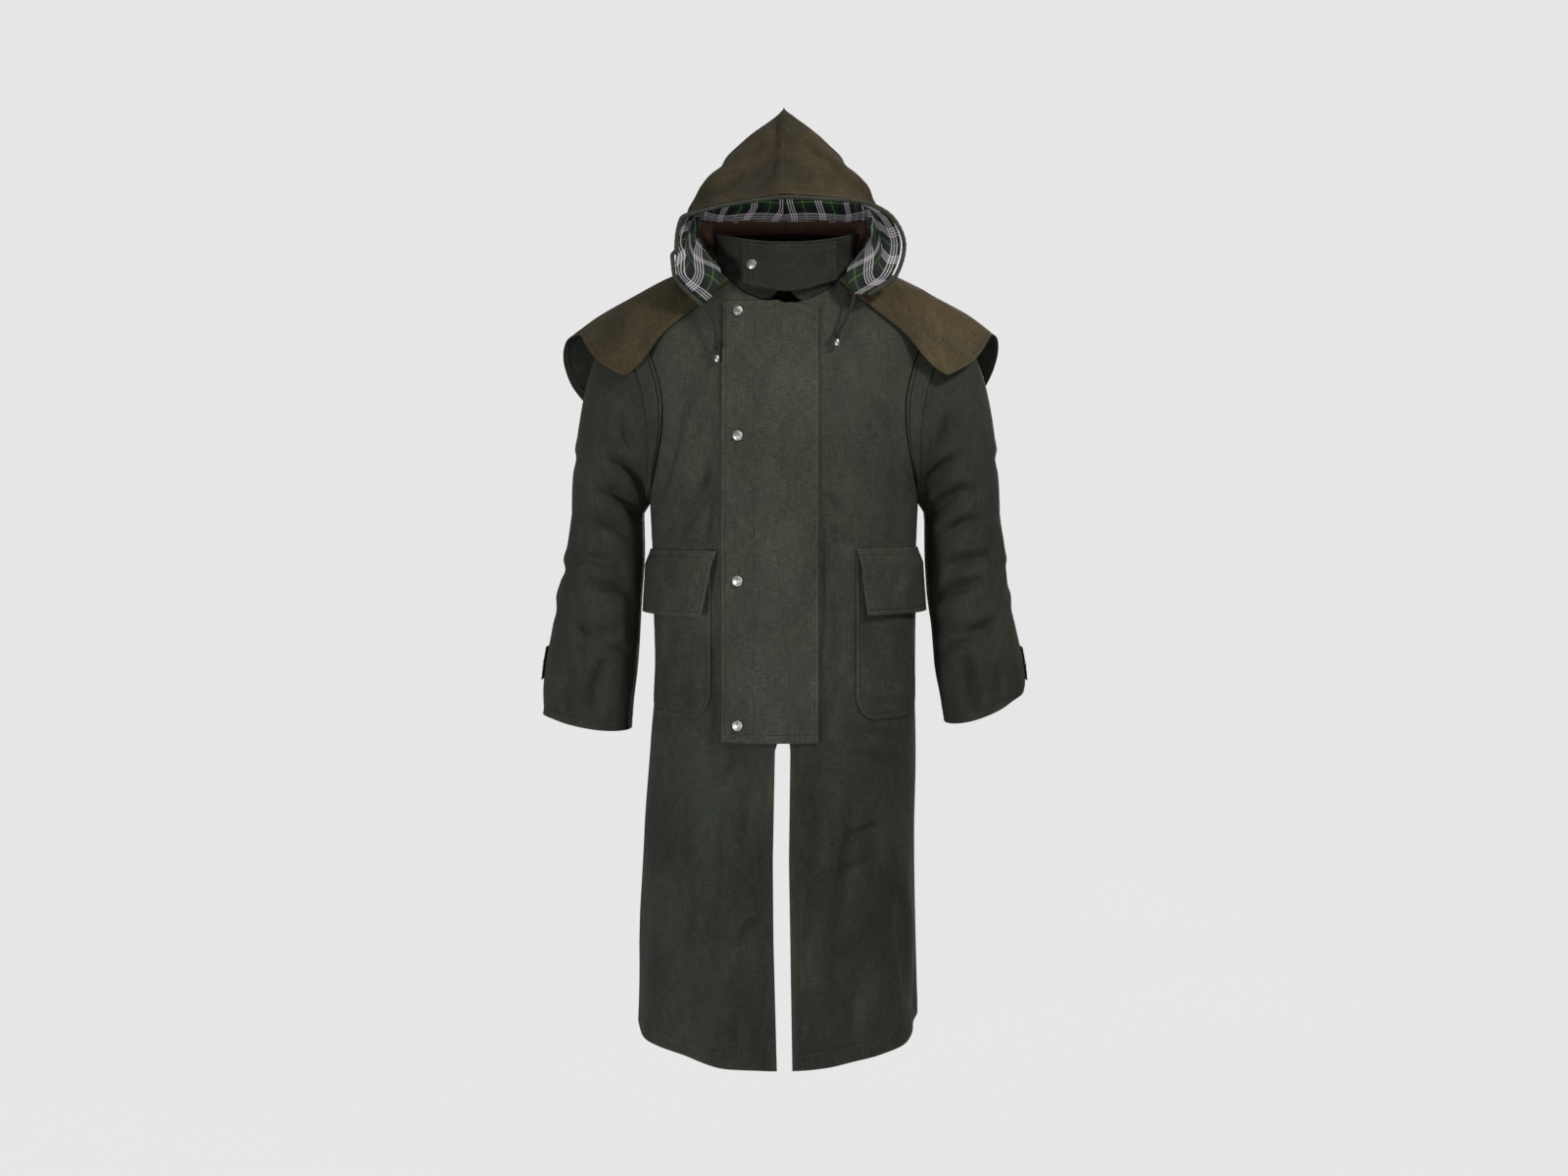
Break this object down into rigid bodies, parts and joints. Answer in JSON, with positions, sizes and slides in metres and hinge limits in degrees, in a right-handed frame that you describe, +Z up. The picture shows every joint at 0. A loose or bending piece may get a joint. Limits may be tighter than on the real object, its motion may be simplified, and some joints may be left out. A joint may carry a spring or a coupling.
{
  "type": "full-length hooded duster coat",
  "caption": "Full-length waxed cotton riding coat with a stand collar, shoulder cape, plaid-lined hood, storm flap and bellows pockets, filled out as if worn.",
  "frame": {"origin": "on the centre plane at the neck point of the shoulders, where the wearer's shoulders carry the coat", "axes": "+Z up along the coat from hem to hood, +X to the wearer's left, -Y out of the coat's front"},
  "size_m": [0.7404, 0.3698, 1.4361],
  "materials": {
    "green_waxed_cotton": "waxed, soft sheen",
    "olive_waxed_cotton": "waxed, soft sheen",
    "plaid_flannel": "brushed",
    "stud_metal": "polished",
    "cord": "matte"
  },
  "bodies": {
    "root": {"front_right": "green_waxed_cotton", "back_right": "green_waxed_cotton", "sleeve_right": "green_waxed_cotton", "armhole_strip_right": "green_waxed_cotton", "cuff_tab_right": "green_waxed_cotton", "cuff_stud_right": "stud_metal", "pocket_right": "green_waxed_cotton", "pocket_flap_right": "green_waxed_cotton", "cape_front_right": "olive_waxed_cotton", "cord_right": "cord", "cord_knot_right": "cord", "cord_tail_right": "cord", "cord_tip_right": "stud_metal", "front_left": "green_waxed_cotton", "back_left": "green_waxed_cotton", "sleeve_left": "green_waxed_cotton", "armhole_strip_left": "green_waxed_cotton", "cuff_tab_left": "green_waxed_cotton", "cuff_stud_left": "stud_metal", "pocket_left": "green_waxed_cotton", "pocket_flap_left": "green_waxed_cotton", "cape_front_left": "olive_waxed_cotton", "cord_left": "cord", "cord_knot_left": "cord", "cord_tip_left": "stud_metal", "storm_flap": "green_waxed_cotton", "flap_stud_1": "stud_metal", "flap_stud_2": "stud_metal", "flap_stud_3": "stud_metal", "flap_stud_4": "stud_metal", "cape_back": "olive_waxed_cotton", "collar": "green_waxed_cotton", "throat_tab": "green_waxed_cotton", "collar_stud": "stud_metal", "hood_right": "olive_waxed_cotton", "hood_lining_right": "plaid_flannel", "hood_left": "olive_waxed_cotton", "hood_lining_left": "plaid_flannel", "hood_channel": "olive_waxed_cotton"}
  },
  "joints": []
}
